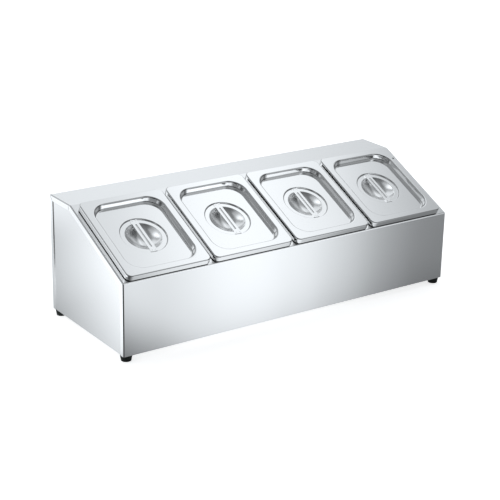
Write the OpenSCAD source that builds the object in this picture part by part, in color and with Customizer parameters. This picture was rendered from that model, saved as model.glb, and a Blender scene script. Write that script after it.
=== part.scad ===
// Countertop condiment station: four lift-out pans in a row under lift-off
// lids, in a sloped sheet-metal casing on four rubber feet.
// Millimetres, +Z up. The origin is on the table, under the middle of the
// casing. The row runs along X, the front panel faces -Y, and the deck rises
// towards the rear.

/* [Casing] */
// Width of the casing, over its side flanges
casing_w = 680; // [676:1:760]
// Depth of the casing, front panel to back
casing_d = 247; // [243:1:290]
// Height of the front panel above the feet
front_h = 127; // [120:1:150]
// Height of the back above the feet
rear_h = 208; // [203:1:215]
// Depth of the flat strip along the top, at the rear
top_d = 73; // [68:1:76]
// Thickness of the casing's sheet
sheet_t = 1.2; // [0.8:0.1:1.5]
// Outside radius of the casing's bends
bend_r = 2.5; // [2:0.1:4]

/* [Side flanges] */
// Width of the flanges that fold over the side panels
flange_w = 10; // [6:0.5:16]
// Width of the slits between two flanges
flange_gap = 0.8; // [0.3:0.1:1.2]
// Distance from the knee back to the slit between the deck's and the rear cover's flanges
flange_joint = 5; // [3:0.5:15]

/* [Feet] */
// Height of a foot
foot_h = 11; // [9:0.5:20]
// Diameter of a foot where it meets the casing
foot_top_d = 21; // [20:0.5:24]
// Diameter of a foot on the table
foot_bottom_d = 17; // [16:0.5:20]
// Distance from the casing's faces to the middle of a foot
foot_inset = 11; // [11:0.5:30]

/* [Row of pans] */
// Distance from one pan to the next
pan_pitch = 166; // [164:0.5:170]
// Sideways shift of the whole row from the middle of the casing
row_offset = -3; // [-4:0.5:4]
// Distance from the casing's front edge to the lids' front edge
row_front_gap = 1.7; // [1:0.1:4]

/* [Pans] */
// Depth of a pan, from its rim
pan_depth = 100; // [65:1:105]
// Thickness of a pan's sheet
pan_t = 1; // [0.8:0.1:1.2]
// Angle of a pan's walls from its floor
pan_wall_angle = 87; // [84:0.5:88]
// Inside radius between a pan's walls and its floor
pan_floor_r = 12; // [6:1:20]
// Gap between a lid's plug and the pan's mouth, on each side
plug_clear = 2; // [1.5:0.1:3]
// Gap between a pan's rim and the lid's skirt
rim_clear = 1.5; // [1:0.1:2.5]
// Gap between a pan and the deck's opening, on each side
deck_clear = 1.5; // [1:0.1:3]

/* [Lids] */
// Width of a lid, along the row
lid_w = 159; // [156:0.5:161]
// Length of a lid, along the slope
lid_d = 182; // [178:0.5:184]
// Height of a lid's rim above the deck
lid_h = 11; // [9:0.5:14]
// Thickness of a lid's sheet
lid_t = 1; // [0.8:0.1:1.2]
// Outside radius of a lid's corners
lid_corner_r = 10; // [7:0.5:14]
// Outside radius of the bend between a lid's rim and its skirt
lid_bend_r = 2; // [1.5:0.1:3]
// Gap between a lid's skirt and the deck
skirt_gap = 1.8; // [0.6:0.1:2.4]
// Width of the flat rim on both sides of the recess
lid_rim_w = 12; // [10:0.5:14]
// Width of the flat rim in front of the recess and behind it
lid_end_rim_w = 11.5; // [10:0.1:13.5]
// Corner radius at the mouth of the recess
recess_r = 30; // [24:1:40]
// Depth of the recess below the rim
recess_depth = 9.4; // [7:0.1:12]
// Angle of the recess's walls from its floor
recess_wall_angle = 75; // [65:1:82]
// Bend radius at the top and the bottom of the recess's walls
recess_bend_r = 3; // [2:0.1:4]
// Diameter of the round well in the recess's floor
well_d = 83; // [76:1:88]
// Depth of the step down to the well's ledge
well_step = 2.1; // [1.9:0.1:3]
// Diameter of the bowl inside the ledge
bowl_d = 63; // [54:1:66]
// Depth of the bowl below the ledge
bowl_depth = 15; // [12:0.5:20]
// Diameter of the small hole in the right-hand lid's rim
lid_hole_d = 2.6; // [2:0.1:4]
// Distance of that hole from the lid's middle, towards the rear
lid_hole_from_middle = 57; // [50:0.5:60]

/* [Handles] */
// Length of the strap handle across the well
handle_l = 77.5; // [72:0.5:78]
// Width of the strap
handle_w = 12.5; // [10:0.5:16]
// Thickness of the strap
handle_t = 1.5; // [1.2:0.1:2]
// Radius of the strap's corners
handle_corner_r = 1.5; // [0.5:0.5:3]
// Length of the groove pressed into the strap
groove_l = 56; // [40:1:60]
// Width of the groove
groove_w = 3.2; // [2:0.1:5]
// Depth of the groove
groove_depth = 0.7; // [0.4:0.1:1]

/* [Hidden] */
PANS = [1, 2, 3, 4];

STEEL = "silver";
POLISHED = "gainsboro";
RUBBER = "#20241f";
$fn = 96;

// Places of the casing's faces
left_x = -casing_w / 2;
right_x = casing_w / 2;
front_y = -casing_d / 2;
rear_y = casing_d / 2;
bottom_z = foot_h;
edge_z = foot_h + front_h;
top_z = foot_h + rear_h;
slope = atan((rear_h - front_h) / (casing_d - top_d));
slope_l = norm([casing_d - top_d, rear_h - front_h]);
panel_half_w = casing_w / 2 - sheet_t;
inner_bend_r = bend_r - sheet_t;
beyond = 40;
low_z = bottom_z - beyond;
knee_y = rear_y - top_d;
base_flange_h = 14;
collar_h = 7;
deck_lip_w = 14;

// Places along the slope, from the casing's front edge
row_s = row_front_gap + lid_d / 2;
front_fold_d = 8;
deck_start_s = front_fold_d - sheet_t;

// Recess, plug and pan mouth, from the outside in
recess_w = lid_w - 2 * lid_rim_w;
recess_d = lid_d - 2 * lid_end_rim_w;
mouth_w = recess_w + 2 * plug_clear;
mouth_d = recess_d + 2 * plug_clear;
mouth_r = recess_r + plug_clear;
rim_outside_w = lid_w - 2 * (lid_t + rim_clear);
rim_outside_d = lid_d - 2 * (lid_t + rim_clear);
rim_corner_r = lid_corner_r - lid_t - rim_clear;
rim_bend_r = 2;
rim_h = lid_h - lid_t;
pan_bend_r = 3;
pan_neck = pan_bend_r * sin(pan_wall_angle) - pan_t;
deck_open_w = mouth_w - 2 * pan_neck + 2 * deck_clear;
deck_open_d = mouth_d - 2 * pan_neck + 2 * deck_clear;
deck_open_r = mouth_r - pan_neck + deck_clear;

// Well, from its ledge down
well_bend_r = 1.2;
well_wall_angle = 80;
bowl_bend_r = 1.5;
ledge_h = lid_h - recess_depth - well_step;
bowl_edge_r = bowl_d / 2 + bowl_bend_r / 2;
bowl_angle = 2 * atan(bowl_depth / bowl_edge_r);
bowl_r = bowl_edge_r / sin(bowl_angle) - bowl_bend_r;

// Feet and their fasteners
foot_bore_d = 5.4;
foot_recess_d = 11;
foot_recess_h = 5;
screw_d = 5;
screw_head_d = 9.4;
screw_head_h = 3;
screw_tip = 4.5;
washer_d = 12;
washer_t = 1;
nut_across = 8;
nut_h = 3.6;
weld_d = 2.2;
weld_depth = 0.3;
weld_inset = 3;

// ---------------------------------------------------------------- 2-D tools

function unit(v) = v / norm(v);

// Points along an arc, angles in degrees
function arc(centre, r, from, to, steps = 8) = [
    for (k = [0 : steps])
        let (a = from + (to - from) * k / steps)
        centre + r * [cos(a), sin(a)]
];

function reversed(list) = [for (k = [len(list) - 1 : -1 : 0]) list[k]];

// Convex outline with each corner rounded by a true arc
module rounded_outline(points, radii) {
    n = len(points);
    difference() {
        polygon(points);
        for (k = [0 : n - 1])
            if (radii[k] > 0) {
                p = points[k];
                u = unit(points[(k + n - 1) % n] - p);
                v = unit(points[(k + 1) % n] - p);
                half = acos(u * v) / 2;
                inward = unit(u + v) * radii[k] / sin(half);
                cut = radii[k] / tan(half);
                difference() {
                    polygon([p - inward, p + u * cut, p + inward, p + v * cut]);
                    translate(p + inward)
                        circle(radii[k]);
                }
            }
    }
}

module rounded_rectangle(w, d, r) {
    square([w - 2 * r, d], center = true);
    square([w, d - 2 * r], center = true);
    for (x = [-1, 1], y = [-1, 1])
        translate([x * (w / 2 - r), y * (d / 2 - r)])
            circle(r);
}

// Section through a sheet, between its upper and its lower line
module sheet_section(upper, lower) {
    polygon(concat(upper, reversed(lower)));
}

// ---------------------------------------------------------------- 3-D tools

// Carries a section round a rounded rectangle. The section's x is measured
// from the centre of the corner arc, and its y is the height.
module carry_round(w, d, r) {
    for (side = [0 : 3]) {
        across = side % 2 == 0 ? w : d;
        along = side % 2 == 0 ? d : w;
        rotate([0, 0, 90 * side])
            translate([across / 2 - r, along / 2 - r, 0]) {
                rotate_extrude(angle = 90)
                    children();
                rotate([90, 0, 0])
                    linear_extrude(along - 2 * r)
                        children();
            }
    }
}

// Puts a shape on the deck: y runs up the slope from the casing's front
// edge, and z is the height above the deck's surface.
module on_deck() {
    translate([0, front_y, edge_z])
        rotate([slope, 0, 0])
            children();
}

module at_pan(i) {
    on_deck()
        translate([row_offset + (i - 2.5) * pan_pitch, row_s, 0])
            children();
}

module at_feet() {
    for (x = [left_x + foot_inset, right_x - foot_inset])
        for (y = [front_y + foot_inset, rear_y - foot_inset])
            translate([x, y, 0])
                children();
}

// ---------------------------------------------------------------- casing

// Height of the slope at y, sunk below the deck's surface by sink
function slope_z(y, sink) = edge_z + (y - front_y) * tan(slope) - sink / cos(slope);
function slope_y(z, sink) = front_y + (z - edge_z + sink / cos(slope)) / tan(slope);

// Point of the side view, s up the slope from the front edge and h above the slope
function slope_point(s, h) = [
    front_y + s * cos(slope) - h * sin(slope), edge_z + s * sin(slope) + h * cos(slope)
];

// Side view of the casing, drawn in by inset all round, and down to low
function profile(inset, low) = [
    [front_y + inset, low], [front_y + inset, slope_z(front_y + inset, inset)],
    [slope_y(top_z - inset, inset), top_z - inset], [rear_y - inset, top_z - inset],
    [rear_y - inset, low]
];

// Carries a side view across the casing. Its x is the depth, and its y the height.
module across(w) {
    rotate([90, 0, 90])
        linear_extrude(w, center = true)
            children();
}

// The casing's outer form drawn in by inset, with its edges rounded to r, and
// the knee between the slope and the flat top left sharp
module wedge(inset, r) {
    half_w = casing_w / 2 - inset;
    front = front_y + inset;
    rear = rear_y - inset;
    high = top_z - inset;
    intersection() {
        across(casing_w)
            rounded_outline(profile(inset, low_z), [0, r, 0, r, 0]);
        translate([0, 0, low_z])
            linear_extrude(top_z + 2 * beyond)
                rounded_outline(
                    [[-half_w, front], [half_w, front], [half_w, rear], [-half_w, rear]],
                    [r, r, r, r]);
        translate([0, casing_d, 0])
            rotate([90, 0, 0])
                linear_extrude(2 * casing_d)
                    rounded_outline(
                        [[-half_w, low_z], [half_w, low_z], [half_w, high], [-half_w, high]],
                        [0, 0, r, r]);
        on_deck()
            translate([0, 2 * slope_l, 0])
                rotate([90, 0, 0])
                    linear_extrude(3 * slope_l)
                        rounded_outline(
                            [[-half_w, -2 * top_z], [half_w, -2 * top_z],
                             [half_w, -inset], [-half_w, -inset]],
                            [0, 0, r, r]);
    }
}

// Slit through the flanges on both sides, from a corner of the side view
module flange_slit(y, z, angle) {
    translate([0, y, z])
        rotate([angle, 0, 0])
            translate([-casing_w, bend_r, -flange_gap / 2])
                cube([2 * casing_w, 2 * flange_w, flange_gap]);
}

// Sheet of the front, the slope, the top and the back, with flanges folded
// over the side panels and slit where they meet
module wrap() {
    difference() {
        wedge(0, bend_r);
        wedge(sheet_t, inner_bend_r);
        across(2 * casing_w)
            polygon(profile(flange_w, low_z - beyond));
        translate([-casing_w, -casing_d, bottom_z - 2 * beyond])
            cube([2 * casing_w, 2 * casing_d, 2 * beyond]);
        flange_slit(front_y, edge_z, (slope - 90) / 2);
        flange_slit(knee_y + flange_joint, top_z, -90);
        flange_slit(rear_y, top_z, -135);
    }
}

// Space of the front panel, bounded by its seam with the deck and by the
// mitre between their flanges
module front_space() {
    mitre_run = 1 / tan((90 + slope) / 2);
    seam = slope_point(deck_start_s, beyond);
    mitre_end = slope_point(2 * flange_w * mitre_run, -2 * flange_w);
    across(2 * casing_w)
        polygon([
            [front_y - beyond, seam.y], seam, slope_point(deck_start_s, -bend_r),
            slope_point(bend_r * mitre_run, -bend_r), mitre_end,
            [mitre_end.x, low_z], [front_y - beyond, low_z]
        ]);
}

// Space of the rear cover, bounded by the deck's lip and by the slit in the flanges
module rear_space() {
    joint_y = knee_y + flange_joint;
    lap_z = top_z - sheet_t;
    across(2 * casing_w)
        polygon([
            [slope_y(lap_z, 0), top_z + beyond], [slope_y(lap_z, 0), lap_z], [joint_y, lap_z],
            [joint_y, low_z], [rear_y + beyond, low_z], [rear_y + beyond, top_z + beyond]
        ]);
}

// Sheet bent back at the top to meet the deck
module front_panel() {
    color(STEEL)
        intersection() {
            wrap();
            front_space();
        }
}

// Flat sheet behind the flanges
module side_panel(side) {
    color(STEEL)
        translate([side * (panel_half_w - sheet_t / 2), 0, 0])
            across(sheet_t)
                polygon(profile(bend_r, bottom_z));
}

module left_side_panel() {
    side_panel(-1);
}

module right_side_panel() {
    side_panel(1);
}

module deck_opening(grow, low, high) {
    translate([0, 0, low])
        linear_extrude(high - low)
            rounded_rectangle(deck_open_w + 2 * grow, deck_open_d + 2 * grow, deck_open_r + grow);
}

// Sloped sheet with a collared opening for each pan, and a lip under the
// rear cover's flat top
module deck() {
    lip_half_w = panel_half_w - bend_r;
    color(STEEL)
        difference() {
            union() {
                difference() {
                    wrap();
                    front_space();
                    rear_space();
                }
                translate([-lip_half_w, slope_y(top_z - sheet_t, 0), top_z - 2 * sheet_t])
                    cube([2 * lip_half_w, deck_lip_w, sheet_t]);
                for (i = PANS)
                    at_pan(i)
                        deck_opening(sheet_t, -collar_h, -sheet_t / 2);
            }
            for (i = PANS)
                at_pan(i)
                    deck_opening(0, -2 * collar_h, collar_h);
        }
}

// Flat top and back in one sheet
module rear_cover() {
    color(STEEL)
        intersection() {
            wrap();
            rear_space();
        }
}

// Tray that closes the casing underneath and carries the feet
module base_plate() {
    half_w = panel_half_w - sheet_t;
    front = front_y + sheet_t;
    rear = rear_y - sheet_t;
    flat = [[-half_w, front], [half_w, front], [half_w, rear], [-half_w, rear]];
    hollow = [
        [-half_w + sheet_t, front + sheet_t], [half_w - sheet_t, front + sheet_t],
        [half_w - sheet_t, rear - sheet_t], [-half_w + sheet_t, rear - sheet_t]
    ];
    color(STEEL)
        difference() {
            translate([0, 0, bottom_z])
                linear_extrude(base_flange_h)
                    rounded_outline(flat, [inner_bend_r, inner_bend_r, 0, 0]);
            translate([0, 0, bottom_z + sheet_t])
                linear_extrude(base_flange_h)
                    rounded_outline(hollow, [0, 0, 0, 0]);
            at_feet()
                cylinder(d = foot_bore_d, h = 2 * base_flange_h);
        }
}

// ---------------------------------------------------------------- feet

// Tapered rubber foot, hollowed underneath for the screw's head
module foot(x, y) {
    edge_r = 0.8;
    color(RUBBER)
        translate([x, y, 0])
            difference() {
                rotate_extrude()
                    rounded_outline(
                        [[0, 0], [foot_bottom_d / 2, 0], [foot_top_d / 2, foot_h], [0, foot_h]],
                        [0, edge_r, edge_r, 0]);
                cylinder(d = foot_bore_d, h = 3 * foot_h, center = true);
                cylinder(d = foot_recess_d, h = 2 * foot_recess_h, center = true);
            }
}

module foot_front_left() {
    foot(left_x + foot_inset, front_y + foot_inset);
}

module foot_front_right() {
    foot(right_x - foot_inset, front_y + foot_inset);
}

module foot_rear_left() {
    foot(left_x + foot_inset, rear_y - foot_inset);
}

module foot_rear_right() {
    foot(right_x - foot_inset, rear_y - foot_inset);
}

module foot_screws() {
    color(STEEL)
        at_feet() {
            translate([0, 0, foot_recess_h - screw_head_h])
                cylinder(d = screw_head_d, h = screw_head_h);
            translate([0, 0, foot_recess_h])
                cylinder(d = screw_d, h = bottom_z + sheet_t + washer_t + screw_tip - foot_recess_h);
        }
}

module foot_washers() {
    color(STEEL)
        at_feet()
            translate([0, 0, bottom_z + sheet_t])
                difference() {
                    cylinder(d = washer_d, h = washer_t);
                    translate([0, 0, -washer_t])
                        cylinder(d = foot_bore_d, h = 3 * washer_t);
                }
}

module foot_nuts() {
    color(STEEL)
        at_feet()
            translate([0, 0, bottom_z + sheet_t + washer_t])
                difference() {
                    cylinder(d = nut_across / cos(30), h = nut_h, $fn = 6);
                    translate([0, 0, -nut_h])
                        cylinder(d = screw_d, h = 3 * nut_h);
                }
}

// ---------------------------------------------------------------- pressed dishes

// Line down a dish's wall: a bend at the mouth, a straight wall and a bend
// to the floor. depth_in moves the line into the sheet.
function wall_line(mouth, top, depth, mouth_bend, floor_bend, wall_angle, depth_in) =
    let (centre_x = mouth - dish_run(depth, mouth_bend, floor_bend, wall_angle))
    concat(
        arc([mouth, top - mouth_bend], mouth_bend - depth_in, 90, 90 + wall_angle),
        arc([centre_x, top - depth + floor_bend], floor_bend + depth_in, wall_angle - 90, -90)
    );

// Sideways distance from a dish's mouth to the edge of its flat floor
function dish_run(depth, mouth_bend, floor_bend, wall_angle) =
    let (bends = mouth_bend + floor_bend)
    let (straight = (depth - bends * (1 - cos(wall_angle))) / sin(wall_angle))
    bends * sin(wall_angle) + straight * cos(wall_angle);

// Section of a rolled edge: a bend outwards and down into a skirt
module skirt_section(outside, top, bend, bottom, t) {
    sheet_section(
        concat(arc([outside - bend, top - bend], bend, 90, 0), [[outside, bottom]]),
        concat(arc([outside - bend, top - bend], bend - t, 90, 0), [[outside - t, bottom]]));
}

// Flat ring between a skirt's bend and a dish's mouth
module rim_ring(outside_w, outside_d, corner_r, bend, dish_w, dish_d, dish_r, top, t) {
    translate([0, 0, top - t])
        linear_extrude(t)
            difference() {
                rounded_rectangle(outside_w - 2 * bend, outside_d - 2 * bend, corner_r - bend);
                rounded_rectangle(dish_w, dish_d, dish_r);
            }
}

// Wall of a dish whose mouth is a rounded rectangle
module dish_wall(w, d, r, top, depth, mouth_bend, floor_bend, wall_angle, t) {
    carry_round(w, d, r)
        sheet_section(
            wall_line(r, top, depth, mouth_bend, floor_bend, wall_angle, 0),
            wall_line(r, top, depth, mouth_bend, floor_bend, wall_angle, t));
}

// ---------------------------------------------------------------- pans

module pan(i) {
    run = dish_run(pan_depth, pan_bend_r, pan_floor_r, pan_wall_angle);
    color(POLISHED)
        at_pan(i) {
            carry_round(rim_outside_w, rim_outside_d, rim_corner_r)
                skirt_section(rim_corner_r, rim_h, rim_bend_r, 0, pan_t);
            rim_ring(rim_outside_w, rim_outside_d, rim_corner_r, rim_bend_r,
                     mouth_w, mouth_d, mouth_r, rim_h, pan_t);
            dish_wall(mouth_w, mouth_d, mouth_r, rim_h, pan_depth,
                      pan_bend_r, pan_floor_r, pan_wall_angle, pan_t);
            translate([0, 0, rim_h - pan_depth - pan_t])
                linear_extrude(pan_t)
                    rounded_rectangle(mouth_w - 2 * run, mouth_d - 2 * run, mouth_r - run);
        }
}

// ---------------------------------------------------------------- lids

// Line from the well's edge over the step, the ledge and the bowl's edge,
// then down the bowl to its middle
function well_line(depth_in) =
    let (floor_h = ledge_h + well_step)
    let (bowl_centre = [0, ledge_h - bowl_depth + bowl_r])
    concat(
        wall_line(well_d / 2, floor_h, well_step, well_bend_r, well_bend_r, well_wall_angle, depth_in),
        arc([bowl_edge_r, ledge_h - bowl_bend_r], bowl_bend_r - depth_in, 90, 90 + bowl_angle),
        arc(bowl_centre, bowl_r + depth_in, bowl_angle - 90, -90, 24)
    );

// Lid pressed from one sheet: skirt, flat rim, recess, and a round well that
// steps down to a ledge and a bowl
module lid(i) {
    run = dish_run(recess_depth, recess_bend_r, recess_bend_r, recess_wall_angle);
    color(POLISHED)
        at_pan(i) {
            carry_round(lid_w, lid_d, lid_corner_r)
                skirt_section(lid_corner_r, lid_h, lid_bend_r, skirt_gap, lid_t);
            difference() {
                rim_ring(lid_w, lid_d, lid_corner_r, lid_bend_r,
                         recess_w, recess_d, recess_r, lid_h, lid_t);
                if (i == max(PANS))
                    translate([(lid_w - lid_rim_w) / 2, lid_hole_from_middle, 0])
                        cylinder(d = lid_hole_d, h = 2 * lid_h);
            }
            dish_wall(recess_w, recess_d, recess_r, lid_h, recess_depth,
                      recess_bend_r, recess_bend_r, recess_wall_angle, lid_t);
            translate([0, 0, lid_h - recess_depth - lid_t])
                linear_extrude(lid_t)
                    difference() {
                        rounded_rectangle(recess_w - 2 * run, recess_d - 2 * run, recess_r - run);
                        circle(d = well_d);
                    }
            rotate_extrude()
                sheet_section(well_line(0), well_line(lid_t));
        }
}

// Rod with ball ends along the strap
module groove_rod(r) {
    half_l = (groove_l - groove_w) / 2;
    rotate([90, 0, 0])
        cylinder(r = r, h = 2 * half_l, center = true);
    for (y = [-1, 1])
        translate([0, y * half_l, 0])
            sphere(r);
}

// Flat strap welded to the ledge at both ends, stiffened by a round groove
// that bulges out of its underside
module lid_handle(i) {
    groove_r = (pow(groove_w / 2, 2) + pow(groove_depth, 2)) / (2 * groove_depth);
    groove_z = handle_t - groove_depth + groove_r;
    color(POLISHED)
        at_pan(i)
            translate([0, 0, ledge_h])
                difference() {
                    union() {
                        linear_extrude(handle_t)
                            rounded_rectangle(handle_w, handle_l, handle_corner_r);
                        intersection() {
                            translate([0, 0, groove_z])
                                groove_rod(groove_r + handle_t);
                            translate([-handle_w / 2, -handle_l / 2, -2 * groove_depth])
                                cube([handle_w, handle_l, 2 * groove_depth + handle_t / 2]);
                        }
                    }
                    translate([0, 0, groove_z])
                        groove_rod(groove_r);
                    for (x = [-1, 1], y = [-1, 1])
                        translate([x * (handle_w / 2 - weld_inset), y * (handle_l / 2 - weld_inset),
                                   handle_t - weld_depth])
                            cylinder(d = weld_d, h = handle_t);
                }
}

// ---------------------------------------------------------------- nodes

front_panel();
deck();
left_side_panel();
right_side_panel();
rear_cover();
base_plate();
foot_front_left();
foot_front_right();
foot_rear_left();
foot_rear_right();
foot_screws();
foot_washers();
foot_nuts();
for (i = PANS) {
    pan(i);
    lid(i);
    lid_handle(i);
}
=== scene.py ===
"""Studio scene for the countertop condiment station: finishes, light and camera."""

import math

import bpy
from mathutils import Matrix, Vector


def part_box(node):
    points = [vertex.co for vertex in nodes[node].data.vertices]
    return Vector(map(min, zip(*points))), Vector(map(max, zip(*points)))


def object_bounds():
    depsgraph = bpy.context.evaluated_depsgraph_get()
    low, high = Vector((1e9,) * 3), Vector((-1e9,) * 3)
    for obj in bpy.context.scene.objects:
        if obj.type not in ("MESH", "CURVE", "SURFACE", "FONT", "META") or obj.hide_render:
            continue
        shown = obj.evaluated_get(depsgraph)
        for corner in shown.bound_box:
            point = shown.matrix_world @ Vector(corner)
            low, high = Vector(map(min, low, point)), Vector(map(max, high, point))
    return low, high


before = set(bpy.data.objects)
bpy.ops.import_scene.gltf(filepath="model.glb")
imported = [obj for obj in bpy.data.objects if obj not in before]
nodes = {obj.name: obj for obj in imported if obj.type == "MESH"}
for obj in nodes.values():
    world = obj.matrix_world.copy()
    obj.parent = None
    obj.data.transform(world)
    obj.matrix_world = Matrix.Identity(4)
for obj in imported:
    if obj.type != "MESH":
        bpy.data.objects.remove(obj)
cad_low, cad_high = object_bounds()

PANS = [1, 2, 3, 4]


# ---------------------------------------------------------------- node trees

# How strong the fine octaves of every noise texture are
NOISE_ROUGHNESS = 0.55
# The Mix node's sockets for colours. Those of its other types have the same
# names, so these are told apart by their places
MIX_FACTOR = 0
MIX_FIRST = 6
MIX_SECOND = 7
MIX_RESULT = 2


class Tree:
    """A node tree, with short calls that add nodes and join them."""

    def __init__(self, tree):
        self.tree = tree
        self.tree.nodes.clear()

    def add(self, kind, **settings):
        node = self.tree.nodes.new(kind)
        for key, value in settings.items():
            setattr(node, key, value)
        return node

    def join(self, source, target):
        self.tree.links.new(source, target)

    def fill(self, target, value):
        """Joins a socket to target, or sets target to a plain value."""
        if isinstance(value, bpy.types.NodeSocket):
            self.join(value, target)
        else:
            target.default_value = value

    def number(self, operation, *inputs):
        """Math node over sockets and plain numbers."""
        node = self.add("ShaderNodeMath", operation=operation)
        for target, value in zip(node.inputs, inputs):
            self.fill(target, value)
        return node.outputs[0]

    def vector(self, operation, *inputs):
        """Vector Math node over sockets and plain vectors."""
        node = self.add("ShaderNodeVectorMath", operation=operation)
        for target, value in zip(node.inputs, inputs):
            self.fill(target, value)
        gives_number = operation in ("DISTANCE", "DOT_PRODUCT")
        return node.outputs["Value" if gives_number else "Vector"]

    def parts(self, vector):
        """X, Y and Z of a vector."""
        node = self.add("ShaderNodeSeparateXYZ")
        self.join(vector, node.inputs[0])
        return node.outputs

    def bearing(self, x, y):
        """Degrees from +Y towards +X."""
        return self.number("DEGREES", self.number("ARCTAN2", x, y))

    def between(self, factor, first, second):
        """First where factor is 0, second where it is 1."""
        return self.number("MULTIPLY_ADD", factor, self.number("SUBTRACT", second, first), first)

    def ramp(self, source, low, high, source_low=0.0, source_high=1.0, kind="LINEAR"):
        """From low to high, as source goes from source_low to source_high."""
        node = self.add("ShaderNodeMapRange", interpolation_type=kind)
        node.inputs["From Min"].default_value = source_low
        node.inputs["From Max"].default_value = source_high
        node.inputs["To Min"].default_value = low
        node.inputs["To Max"].default_value = high
        self.join(source, node.inputs["Value"])
        return node.outputs["Result"]

    def ease(self, source, reach, low=0.0, high=1.0):
        """From low to high over source's reach, with soft ends."""
        return self.ramp(source, low, high, *reach, kind="SMOOTHSTEP")

    def look_up(self, source, table, kind):
        """Level by source, along a curve through a table of (value, level)."""
        first, last = table[0][0], table[-1][0]
        peak = max(level for _, level in table)
        node = self.add("ShaderNodeValToRGB")
        node.color_ramp.interpolation = kind
        elements = node.color_ramp.elements
        while len(elements) < len(table):
            elements.new(position=0.5)
        for element, (value, level) in zip(elements, table):
            element.position = (value - first) / (last - first)
            element.color = (level / peak, level / peak, level / peak, 1.0)
        self.join(self.ramp(source, 0.0, 1.0, first, last), node.inputs["Fac"])
        return self.number("MULTIPLY", node.outputs["Color"], peak)

    def mix_shaders(self, factor, first, second):
        """First shader where factor is 0, second where it is 1."""
        node = self.add("ShaderNodeMixShader")
        for source, target in zip((factor, first, second), node.inputs):
            self.join(source, target)
        return node.outputs[0]


class Shader(Tree):
    """A material and its node tree."""

    def __init__(self, name):
        self.material = bpy.data.materials.new(name)
        self.material.use_nodes = True
        super().__init__(self.material.node_tree)
        self.output = self.add("ShaderNodeOutputMaterial")

    def finish(self, surface):
        """Makes surface the material's look."""
        self.join(surface, self.output.inputs["Surface"])
        return self.material

    def place(self):
        """Object coordinates, in metres."""
        return self.add("ShaderNodeTexCoord").outputs["Object"]

    def distance_to(self, centre):
        return self.vector("DISTANCE", self.place(), centre)

    def noise(self, scale, detail=3.0):
        """Noise whose grain is scale cells to the metre along X, Y and Z."""
        mapping = self.add("ShaderNodeMapping")
        mapping.inputs["Scale"].default_value = scale
        self.join(self.place(), mapping.inputs["Vector"])
        texture = self.add("ShaderNodeTexNoise")
        texture.inputs["Scale"].default_value = 1.0
        texture.inputs["Detail"].default_value = detail
        texture.inputs["Roughness"].default_value = NOISE_ROUGHNESS
        self.join(mapping.outputs["Vector"], texture.inputs["Vector"])
        return texture.outputs["Fac"]

    def blend_colours(self, factor, first, second):
        """First colour where factor is 0, second where it is 1."""
        mix = self.add("ShaderNodeMix", data_type="RGBA")
        mix.inputs[MIX_FIRST].default_value = (*first, 1.0)
        mix.inputs[MIX_SECOND].default_value = (*second, 1.0)
        self.join(factor, mix.inputs[MIX_FACTOR])
        return mix.outputs[MIX_RESULT]

    def shade(self, colour, tone, amount=1.0):
        """Colour times tone, as far as amount goes from 0 to 1."""
        mix = self.add("ShaderNodeMix", data_type="RGBA", blend_type="MULTIPLY")
        self.fill(mix.inputs[MIX_FACTOR], amount)
        self.join(colour, mix.inputs[MIX_FIRST])
        self.join(tone, mix.inputs[MIX_SECOND])
        return mix.outputs[MIX_RESULT]

    def bump(self, height, distance):
        node = self.add("ShaderNodeBump")
        node.inputs["Strength"].default_value = 1.0
        node.inputs["Distance"].default_value = distance
        self.join(height, node.inputs["Height"])
        return node.outputs["Normal"]


# ---------------------------------------------------------------- finishes

# A steel's colour goes from its dark to its light one with its grain and with
# slow clouds. Their shares, and the clouds' cells to the metre
GRAIN_SHARE = 0.6
CLOUD_SHARE = 0.4
CLOUD_SCALE = (5.0, 5.0, 5.0)
# Grain directions, a hair off the true axes, so that no flat face looks
# straight along its grain
ALONG_X = (1.0, 0.0, 0.03)
ALONG_Y = (0.0, 1.0, 0.03)
# Where the edges of round spots start or end, as shares of their radius
ROUGH_SPOT_EDGE = 0.90
ROUGH_SPOT_RIM = 1.02
DARK_SPOT_EDGE = 0.80

# A lid's own upward direction, square to the sloped deck
LID_UP = (0.0, -0.4220, 0.9066)
# The round part of a lid's well is less polished. Radius in metres, and the
# roughness that it adds
BOWL_RADIUS = 0.034
BOWL_ROUGHNESS = 0.13
# The small hole in one lid's rim gets painted shade round its edge, which widens the dark of the hole.
# Metres, from the lid's right edge and from its middle towards the rear
HOLED_LID = 4
HOLE_FROM_EDGE = 0.006
HOLE_FROM_MIDDLE = 0.057
HOLE_SHADE_RADIUS = 0.0022
HOLE_SHADE_TONE = 0.25

# Tones by how far a face looks along an axis. They darken the colour at the
# bends between faces, in place of the dark surroundings that the bends mirror in
# the photograph. For the casing that axis is its width, and the flanges that lie
# on the sides stay lighter; for lids and straps it is LID_UP
CASING_TONES = [(0.0, 0.88), (0.20, 0.88), (0.40, 0.45), (0.85, 0.45), (0.97, 0.99), (1.0, 0.99)]
LID_TONES = [(0.0, 1.0), (0.31, 1.0), (0.50, 0.36), (0.82, 0.36), (0.965, 1.0), (1.0, 1.0)]
STRAP_TONES = [(0.0, 0.9), (0.30, 0.9), (0.50, 0.45), (0.90, 0.45), (0.985, 1.0), (1.0, 1.0)]


def grey(level):
    return (level, level, level)


def middle(name):
    """The middle of a node's box."""
    low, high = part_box(name)
    return tuple((Vector(low) + Vector(high)) / 2)


def hole_place(i):
    """The middle of the small hole, on the top of lid i's rim."""
    up = Vector(LID_UP)
    rearward = Vector((0.0, up.z, -up.y))
    rim = max(corner.co.dot(up) for corner in nodes[f"lid_{i}"].data.vertices)
    along = Vector(middle(f"lid_handle_{i}")).dot(rearward) + HOLE_FROM_MIDDLE
    place = up * rim + rearward * along
    place.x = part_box(f"lid_{i}")[1][0] - HOLE_FROM_EDGE
    return place


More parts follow.
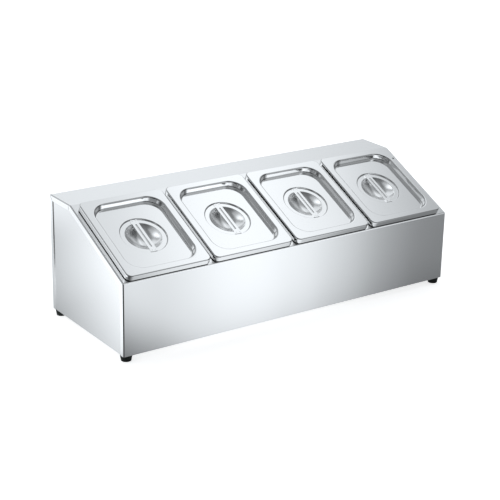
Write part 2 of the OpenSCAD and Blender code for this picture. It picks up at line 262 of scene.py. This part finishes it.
def steel(name, light, dark, grain, roughness, grain_depth, anisotropy=0.0, grain_axis=ALONG_X,
          rough_spot=None, facing=None, dark_spot=None):
    """Stainless steel with a grain stretched along one axis, slow colour
    variation, and highlights drawn out across the grain. rough_spot is the
    centre, radius and added roughness of a round place that is less polished.
    facing is an axis and a table of tones that paints dark reflections at the bends; it leaves the rough
    spot alone.
    dark_spot is the centre, radius and tone of a round place darkened with painted shade."""
    shader = Shader(name)
    lines = shader.noise(grain, detail=2.0)
    clouds = shader.ramp(shader.noise(CLOUD_SCALE), 0.0, CLOUD_SHARE)
    colour = shader.blend_colours(shader.number("MULTIPLY_ADD", lines, GRAIN_SHARE, clouds), dark, light)
    rough = shader.ramp(lines, *roughness)
    normal = shader.add("ShaderNodeNewGeometry").outputs["Normal"]
    outside = 1.0
    if rough_spot:
        centre, radius, added = rough_spot
        away = shader.distance_to(centre)
        rough = shader.number("ADD", rough, shader.ramp(away, added, 0.0, ROUGH_SPOT_EDGE * radius, radius))
        outside = shader.ramp(away, 0.0, 1.0, radius, ROUGH_SPOT_RIM * radius)
    # Painted reflections: the tones darken the bends
    if facing:
        axis, table = facing
        along = shader.number("ABSOLUTE", shader.vector("DOT_PRODUCT", normal, axis))
        colour = shader.shade(colour, shader.look_up(along, table, "LINEAR"), outside)
    # Painted shade over the dark spot
    if dark_spot:
        centre, radius, tone = dark_spot
        away = shader.distance_to(centre)
        colour = shader.shade(colour, shader.ramp(away, tone, 1.0, DARK_SPOT_EDGE * radius, radius))
    surface = shader.add("ShaderNodeBsdfPrincipled")
    surface.inputs["Metallic"].default_value = 1.0
    surface.inputs["Anisotropic"].default_value = anisotropy
    shader.join(colour, surface.inputs["Base Color"])
    shader.join(rough, surface.inputs["Roughness"])
    shader.join(shader.bump(lines, grain_depth), surface.inputs["Normal"])
    if anisotropy:
        shader.join(shader.vector("CROSS_PRODUCT", normal, grain_axis), surface.inputs["Tangent"])
    return shader.finish(surface.outputs["BSDF"])


def casing_steel():
    """Brushed along the row, with painted dark reflections at the bends."""
    return steel("casing_steel", light=grey(0.98), dark=grey(0.96), grain=(5.0, 900.0, 900.0),
                 roughness=(0.15, 0.19), grain_depth=0.0000001, anisotropy=0.6, grain_axis=ALONG_X,
                 facing=((1.0, 0.0, 0.0), CASING_TONES))


def side_steel():
    """Brushed from front to rear."""
    return steel("side_steel", light=grey(0.86), dark=grey(0.84), grain=(900.0, 5.0, 900.0),
                 roughness=(0.15, 0.19), grain_depth=0.0000001, anisotropy=0.5, grain_axis=ALONG_Y)


def strap_steel():
    """Satin, with painted dark reflections in its groove and at its bends."""
    return steel("strap_steel", light=grey(0.92), dark=grey(0.88), grain=(700.0, 10.0, 700.0),
                 roughness=(0.13, 0.19), grain_depth=0.0000005, facing=(LID_UP, STRAP_TONES))


def pan_steel():
    """Drawn sheet, with its grain up the walls."""
    return steel("pan_steel", light=grey(0.82), dark=grey(0.74), grain=(500.0, 500.0, 20.0),
                 roughness=(0.12, 0.22), grain_depth=0.000002)


def fastener_steel():
    """Plain and dull, with an even grain."""
    return steel("fastener_steel", light=(0.62, 0.62, 0.63), dark=(0.48, 0.48, 0.49),
                 grain=(300.0, 300.0, 300.0), roughness=(0.25, 0.4), grain_depth=0.000005)


def lid_steel(i):
    """Polished, with painted dark reflections at the bends and a duller bowl; on one lid, painted shade
    round the hole in its rim.
    """
    bowl = (middle(f"lid_handle_{i}"), BOWL_RADIUS, BOWL_ROUGHNESS)
    # Painted shade round the hole in one lid's rim
    hole_shade = (hole_place(i), HOLE_SHADE_RADIUS, HOLE_SHADE_TONE) if i == HOLED_LID else None
    return steel(f"lid_{i}_steel", light=grey(0.88), dark=grey(0.85), grain=(10.0, 700.0, 700.0),
                 roughness=(0.06, 0.08), grain_depth=0.0000001, rough_spot=bowl,
                 facing=(LID_UP, LID_TONES), dark_spot=hole_shade)


def foot_rubber():
    """Near-black moulded rubber with a fine stipple and a little dust."""
    shader = Shader("foot_rubber")
    surface = shader.add("ShaderNodeBsdfPrincipled")
    stipple = shader.noise((900.0, 900.0, 900.0), detail=2.0)
    dust = shader.noise((90.0, 90.0, 90.0), detail=4.0)
    clean, dusty = (0.003, 0.006, 0.005), (0.010, 0.016, 0.013)
    shader.join(shader.blend_colours(dust, clean, dusty), surface.inputs["Base Color"])
    shader.join(shader.ramp(dust, 0.5, 0.75), surface.inputs["Roughness"])
    shader.join(shader.bump(stipple, 0.0002), surface.inputs["Normal"])
    return shader.finish(surface.outputs["BSDF"])


def dress(names, material):
    for name in names:
        mesh = nodes[name].data
        mesh.materials.clear()
        mesh.materials.append(material)


dress(["front_panel", "deck", "rear_cover", "base_plate"], casing_steel())
dress(["left_side_panel", "right_side_panel"], side_steel())
dress([f"lid_handle_{i}" for i in PANS], strap_steel())
dress([f"pan_{i}" for i in PANS], pan_steel())
dress(["foot_screws", "foot_washers", "foot_nuts"], fastener_steel())
for i in PANS:
    dress([f"lid_{i}"], lid_steel(i))
dress(["foot_front_left", "foot_front_right", "foot_rear_left", "foot_rear_right"], foot_rubber())


# ---------------------------------------------------------------- camera

# Angles in degrees, lens and sensor in millimetres, the rest in metres
AZIMUTH = -35.0
ELEVATION = 20.19
ROLL = 1.20
DISTANCE = 2.5088
TARGET = Vector((-0.01005, 0.0, 0.09323))
NEAREST = 0.05
FARTHEST = 50.0
LENS_MM = 101.46
SENSOR_MM = 36.0


def photo_camera():
    """The photograph's view: it looks at TARGET, tilted by ROLL."""
    azimuth, elevation = math.radians(AZIMUTH), math.radians(ELEVATION)
    level = math.cos(elevation)
    back = Vector((math.sin(azimuth) * level, -math.cos(azimuth) * level, math.sin(elevation)))
    data = bpy.data.cameras.new("photo_camera")
    data.sensor_width = SENSOR_MM
    data.lens = LENS_MM
    data.clip_start = NEAREST
    data.clip_end = FARTHEST
    camera = bpy.data.objects.new("photo_camera", data)
    bpy.context.scene.collection.objects.link(camera)
    turn = (-back).to_track_quat("-Z", "Y").to_matrix().to_4x4()
    roll = Matrix.Rotation(math.radians(ROLL), 4, "Z")
    camera.matrix_world = Matrix.Translation(TARGET + back * DISTANCE) @ turn @ roll
    bpy.context.scene.camera = camera


photo_camera()


# ---------------------------------------------------------------- studio

# What steel mirrors, as tables of brightness, and the reaches over which one
# gives way to the next. The levels began as brightness measured in the
# photograph, in the directions and at the places that its steel mirrors. They
# were rounded, and tuned by comparing renders with it. Bearings are in degrees:
# 0 is behind the casing, 90 to its right, 180 in front of it.

# Overhead, by the X part of the direction: a bright strip to the left with a
# dark gap beside it, an even middle, a narrow strip to the right, and dark
# past that
OVERHEAD = [(-1.0, 0.80), (-0.78, 0.80), (-0.66, 1.40), (-0.50, 1.40), (-0.41, 0.42), (-0.20, 0.80),
            (0.25, 0.95), (0.44, 0.82), (0.475, 0.93), (0.515, 1.14), (0.565, 1.10), (0.605, 0.86),
            (0.64, 0.58), (0.68, 0.45), (1.0, 0.40)]
# It is dimmer towards the front, by the Y part of the direction, and straight
# above, by the Z part
OVER_FRONT_REACH = (-0.30, 0.22)
OVER_FRONT_LEVEL = 0.40
TOP_RISE = (0.905, 0.96)
TOP_LEVEL = 0.30
# The walls by bearing, low down and half-way up: light behind, half-bright
# sides, a dark front, and in front to the right a tall bright panel
LOW_WALLS = [(-180.0, 0.15), (-130.0, 0.15), (-113.0, 0.70), (-96.0, 0.12), (-76.0, 0.30),
             (-60.0, 0.80), (-46.0, 1.05), (-25.0, 1.05), (20.0, 0.85), (33.0, 0.96), (41.0, 0.72),
             (70.0, 0.60), (92.0, 0.45), (112.0, 0.40), (125.0, 0.15), (136.0, 0.60), (141.0, 1.10),
             (149.0, 1.05), (157.0, 0.15), (180.0, 0.15)]
HIGH_WALLS = [(-180.0, 0.20), (-140.0, 0.20), (-114.0, 0.45), (-95.0, 0.60), (-80.0, 0.60),
              (-66.0, 0.26), (-52.0, 0.70), (-20.0, 0.98), (30.0, 0.90), (65.0, 0.70), (92.0, 0.55),
              (118.0, 0.20), (130.0, 0.30), (137.0, 0.90), (147.0, 0.85), (156.0, 0.20), (180.0, 0.20)]
# The Z part of the direction, where the low walls give way to the high ones,
# and those to the light overhead
WALL_RISE = (0.36, 0.48)
OVER_RISE = (0.58, 0.70)

# The floor far from the casing by bearing, and the clear distance, in metres,
# over which the floor near by gives way to it
FAR_FLOOR = [(-180.0, 1.15), (-160.0, 1.10), (-150.0, 0.45), (-140.0, 0.30), (-105.0, 0.30),
             (-75.0, 0.45), (-54.0, 1.00), (-25.0, 1.05), (10.0, 0.90), (85.0, 0.60), (100.0, 0.30),
             (124.0, 0.30), (135.0, 0.50), (141.0, 1.12), (150.0, 1.45), (165.0, 1.35), (180.0, 1.15)]
FAR_REACH = (0.38, 0.62)
# Near by it darkens towards the casing, by clear distance: a painted shadow of the casing
CONTACT = [(0.0, 0.75), (0.034, 0.81), (0.06, 0.86), (0.12, 0.94), (0.24, 1.0)]
# In front a painted fan of light crosses it, by bearing from FAN_CENTRE. It starts over FAN_REACH, which
# like the places below is in metres from the casing's middle
FAN_CENTRE = (-1.36, 1.68, 0.0)
FAN = [(134.0, 0.25), (138.0, 0.31), (140.0, 0.60), (142.0, 0.95), (143.6, 1.12), (145.0, 1.20),
       (146.6, 1.12), (148.6, 0.93), (150.2, 0.93), (160.0, 0.84)]
FAN_REACH = (-0.06, -0.125)
# To the left it gets brighter outwards and forwards, by Y + LEFT_SLANT * X
LEFT_SLANT = 2.14
LEFT_REACH = (-0.978, -0.578)
LEFT_LEVELS = (1.44, 0.588)
# Off the front left corner it is dark: painted shade
CORNER_X = (-0.41, -0.16)
CORNER_Y = (-0.14, -0.08)
CORNER_LEVEL = 0.10
# Colour of everything that steel mirrors, a cool white
STUDIO_TINT = (0.955, 0.997, 1.032, 1.0)

# The floor itself: half its side in metres, its two colours and their cells to
# the metre, and a glow that only the camera sees, which brings it to white and
# keeps the shadow faint
FLOOR_HALF = 12.0
FLOOR_DARK = grey(0.88)
FLOOR_LIGHT = grey(0.90)
FLOOR_SCALE = (3.0, 3.0, 3.0)
FLOOR_GLOW = 0.7


def smooth(tree, source, table):
    """Brightness by source, along a smooth curve through a table."""
    return tree.look_up(source, table, "CARDINAL")


def clear_distance(tree, x, y):
    """Distance over the floor from the casing's box, 0 inside it."""
    half = (cad_high - cad_low) / 2
    squares = []
    for part, reach in ((x, half.x), (y, half.y)):
        beyond = tree.number("SUBTRACT", tree.number("ABSOLUTE", part), reach)
        squares.append(tree.number("POWER", tree.number("MAXIMUM", beyond, 0.0), 2.0))
    return tree.number("SQRT", tree.number("ADD", *squares))


def mirrored_floor(tree):
    """Brightness of the floor in what steel mirrors: painted light, with painted shade near the casing."""
    position = tree.add("ShaderNodeNewGeometry").outputs["Position"]
    x, y, _ = tree.parts(tree.vector("SUBTRACT", position, FAN_CENTRE))
    fan = smooth(tree, tree.bearing(x, y), FAN)
    x, y, _ = tree.parts(tree.vector("SUBTRACT", position, (cad_low + cad_high) / 2))
    left = tree.ramp(tree.number("MULTIPLY_ADD", x, LEFT_SLANT, y), *LEFT_LEVELS, *LEFT_REACH)
    near = tree.between(tree.ease(y, FAN_REACH), left, fan)
    corner = tree.number("MAXIMUM", tree.ease(x, CORNER_X, low=CORNER_LEVEL),
                         tree.ease(y, CORNER_Y, low=CORNER_LEVEL))
    clear = clear_distance(tree, x, y)
    shade = tree.number("MULTIPLY", smooth(tree, clear, CONTACT), corner)
    far = smooth(tree, tree.bearing(x, y), FAR_FLOOR)
    return tree.between(tree.ease(clear, FAR_REACH), tree.number("MULTIPLY", near, shade), far)


def floor_material():
    """Pale and dull where light falls on it, and white with a faint shadow to
    the camera. Steel doesn't mirror that: it gets the mirrored floor."""
    shader = Shader("studio_floor")
    lit = shader.add("ShaderNodeBsdfDiffuse")
    grain = shader.noise(FLOOR_SCALE)
    shader.join(shader.blend_colours(grain, FLOOR_DARK, FLOOR_LIGHT), lit.inputs["Color"])

    glow = shader.add("ShaderNodeEmission")
    glow.inputs["Strength"].default_value = FLOOR_GLOW
    seen = shader.add("ShaderNodeAddShader")
    shader.join(lit.outputs[0], seen.inputs[0])
    shader.join(glow.outputs[0], seen.inputs[1])

    mirrored = shader.add("ShaderNodeEmission")
    mirrored.inputs["Color"].default_value = STUDIO_TINT
    shader.join(mirrored_floor(shader), mirrored.inputs["Strength"])

    path = shader.add("ShaderNodeLightPath").outputs
    glossy = shader.number("MAXIMUM", path["Is Glossy Ray"], path["Is Transmission Ray"])
    unseen = shader.mix_shaders(glossy, lit.outputs[0], mirrored.outputs[0])
    return shader.finish(shader.mix_shaders(path["Is Camera Ray"], unseen, seen.outputs[0]))


def floor():
    """A plain pale floor, level with the bottom of the feet."""
    signs = ((-1, -1), (1, -1), (1, 1), (-1, 1))
    corners = [(x * FLOOR_HALF, y * FLOOR_HALF, 0.0) for x, y in signs]
    mesh = bpy.data.meshes.new("studio_floor")
    mesh.from_pydata(corners, [], [(0, 1, 2, 3)])
    plane = bpy.data.objects.new("studio_floor", mesh)
    bpy.context.scene.collection.objects.link(plane)
    mesh.materials.append(floor_material())


def studio_world():
    """White to the camera alone. To everything else, steel included, it is walls
    all round and light overhead."""
    world = bpy.data.worlds.new("studio")
    bpy.context.scene.world = world
    world.use_nodes = True
    tree = Tree(world.node_tree)
    x, y, z = tree.parts(tree.add("ShaderNodeTexCoord").outputs["Generated"])
    around = tree.bearing(x, y)
    walls = tree.between(tree.ease(z, WALL_RISE), smooth(tree, around, LOW_WALLS),
                         smooth(tree, around, HIGH_WALLS))
    overhead = tree.number("MULTIPLY", smooth(tree, x, OVERHEAD),
                           tree.ease(y, OVER_FRONT_REACH, low=OVER_FRONT_LEVEL))
    overhead = tree.between(tree.ease(z, TOP_RISE), overhead, TOP_LEVEL)
    room = tree.add("ShaderNodeBackground")
    room.inputs["Color"].default_value = STUDIO_TINT
    tree.join(tree.between(tree.ease(z, OVER_RISE), walls, overhead), room.inputs["Strength"])
    white = tree.add("ShaderNodeBackground")
    camera_ray = tree.add("ShaderNodeLightPath").outputs["Is Camera Ray"]
    output = tree.add("ShaderNodeOutputWorld")
    tree.join(tree.mix_shaders(camera_ray, room.outputs[0], white.outputs[0]), output.inputs["Surface"])


def softbox(name, place, aim, width, height, brightness):
    """Area lamp for the floor and the feet. Steel mirrors the room instead."""
    data = bpy.data.lights.new(name, "AREA")
    data.shape = "RECTANGLE"
    data.size = width
    data.size_y = height
    data.energy = brightness * math.pi * width * height
    lamp = bpy.data.objects.new(name, data)
    lamp.location = place
    lamp.rotation_mode = "QUATERNION"
    lamp.rotation_quaternion = (Vector(aim) - Vector(place)).to_track_quat("-Z", "Y")
    lamp.visible_camera = False
    lamp.visible_glossy = False
    bpy.context.scene.collection.objects.link(lamp)


floor()
studio_world()
softbox("overhead", place=(0.2, 0.9, 2.4), aim=(0.0, 0.0, 0.1), width=2.2, height=1.4, brightness=1.0)

bpy.context.scene.view_settings.view_transform = "Standard"
